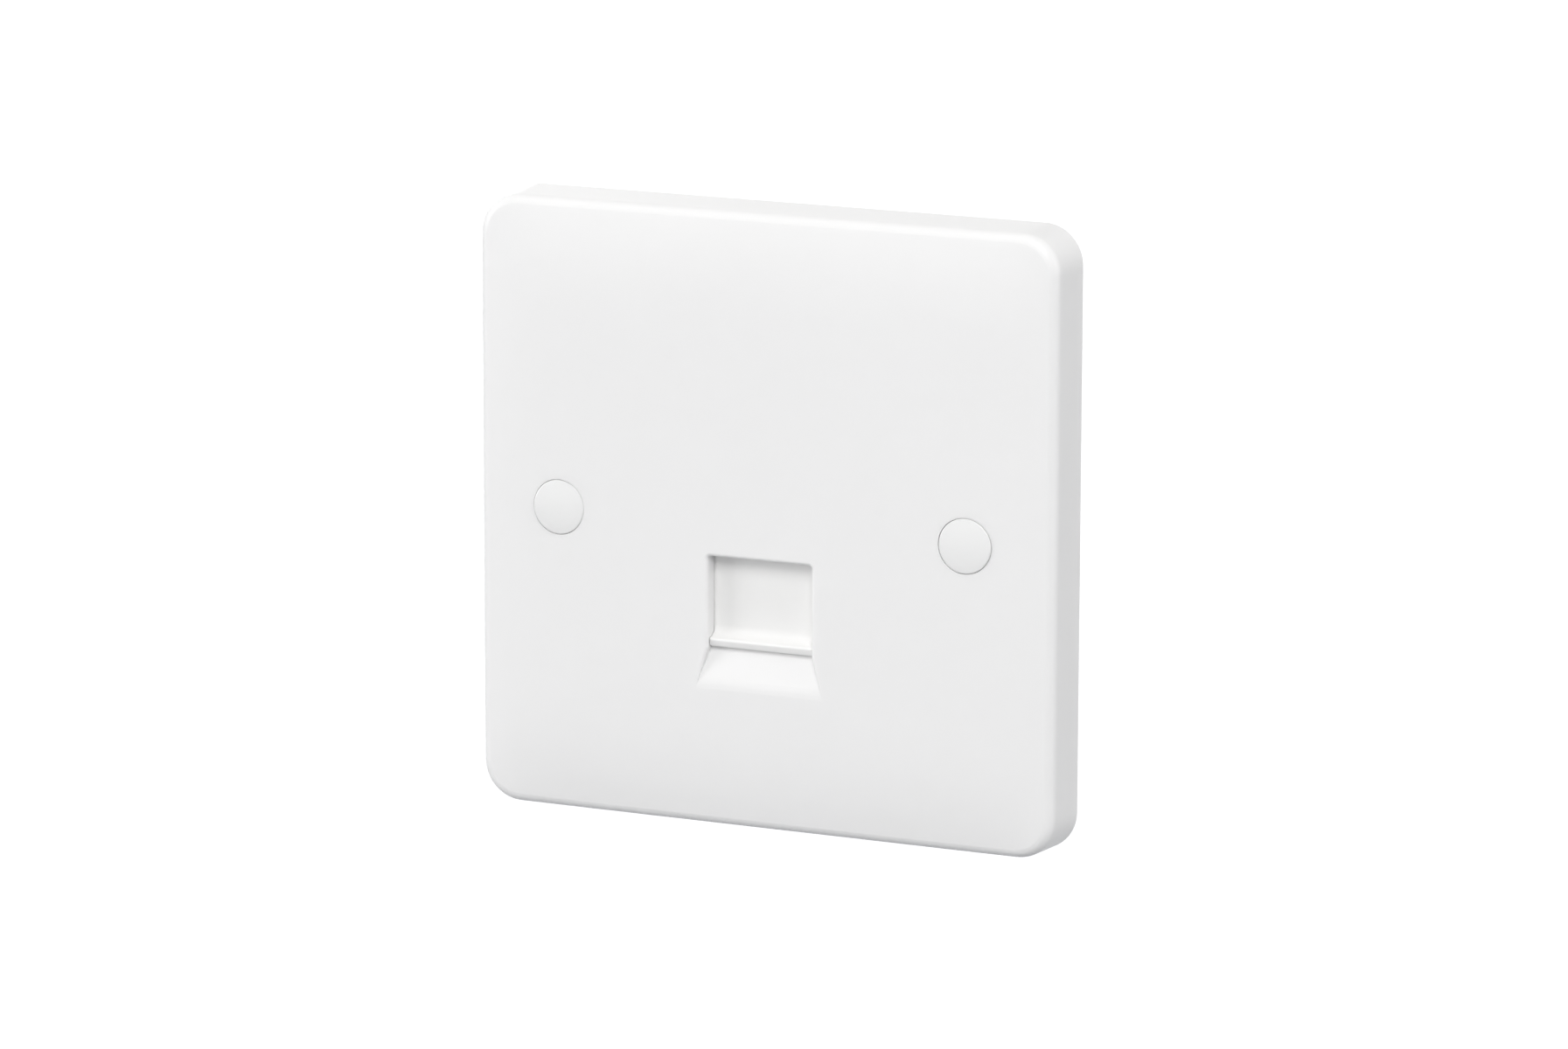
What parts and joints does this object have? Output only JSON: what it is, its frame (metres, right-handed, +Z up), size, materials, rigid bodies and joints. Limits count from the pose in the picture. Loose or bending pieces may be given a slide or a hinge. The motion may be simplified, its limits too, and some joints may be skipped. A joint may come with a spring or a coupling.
{
  "type": "telephone wall socket",
  "caption": "Square wall plate with a softly domed face, capped fixing screws and a low central telephone jack behind a sprung sliding shutter, with wiring terminals at the back.",
  "frame": {"origin": "middle of the plate's back rim, in the plane of the wall, midway between the fixing screws", "axes": "+X to the right seen from the front, +Y into the wall, +Z up; the face looks along -Y"},
  "size_m": [0.086, 0.0303, 0.086],
  "materials": {
    "plate_plastic": "soft gloss white moulding",
    "cap_plastic": "satin warm white moulding",
    "shutter_plastic": "satin warm white moulding",
    "housing_plastic": "matt off-white moulding",
    "block_plastic": "matt off-white moulding",
    "board_laminate": "green solder resist",
    "screw_steel": "bright zinc plating",
    "spring_steel": "drawn spring wire",
    "contact_bronze": "plated spring wire",
    "terminal_metal": "tinned sheet metal"
  },
  "bodies": {
    "socket": {"front_plate": "plate_plastic", "screw_cap_left": "cap_plastic", "screw_cap_right": "cap_plastic", "fixing_screw_left": "screw_steel", "fixing_screw_right": "screw_steel", "shutter_spring": "spring_steel", "jack_housing": "housing_plastic", "module_screw_left": "screw_steel", "module_screw_right": "screw_steel", "contact_carrier": "housing_plastic", "contact_spring_1": "contact_bronze", "contact_spring_2": "contact_bronze", "contact_spring_3": "contact_bronze", "contact_spring_4": "contact_bronze", "contact_spring_5": "contact_bronze", "contact_spring_6": "contact_bronze", "circuit_board": "board_laminate", "terminal_block_left": "block_plastic", "terminal_block_right": "block_plastic", "terminal_1": "terminal_metal", "terminal_2": "terminal_metal", "terminal_3": "terminal_metal", "terminal_4": "terminal_metal", "terminal_5": "terminal_metal", "terminal_6": "terminal_metal"},
    "sliding_shutter": {"shutter": "shutter_plastic"}
  },
  "joints": [
    {"name": "shutter_slide", "type": "slide", "parent": "socket", "child": "sliding_shutter", "axis": [0, 0, 1], "range_m": [0, 0.01], "stiffness_N_per_m": 60, "springref_m": -0.008, "deforming": ["shutter_spring"]}
  ]
}
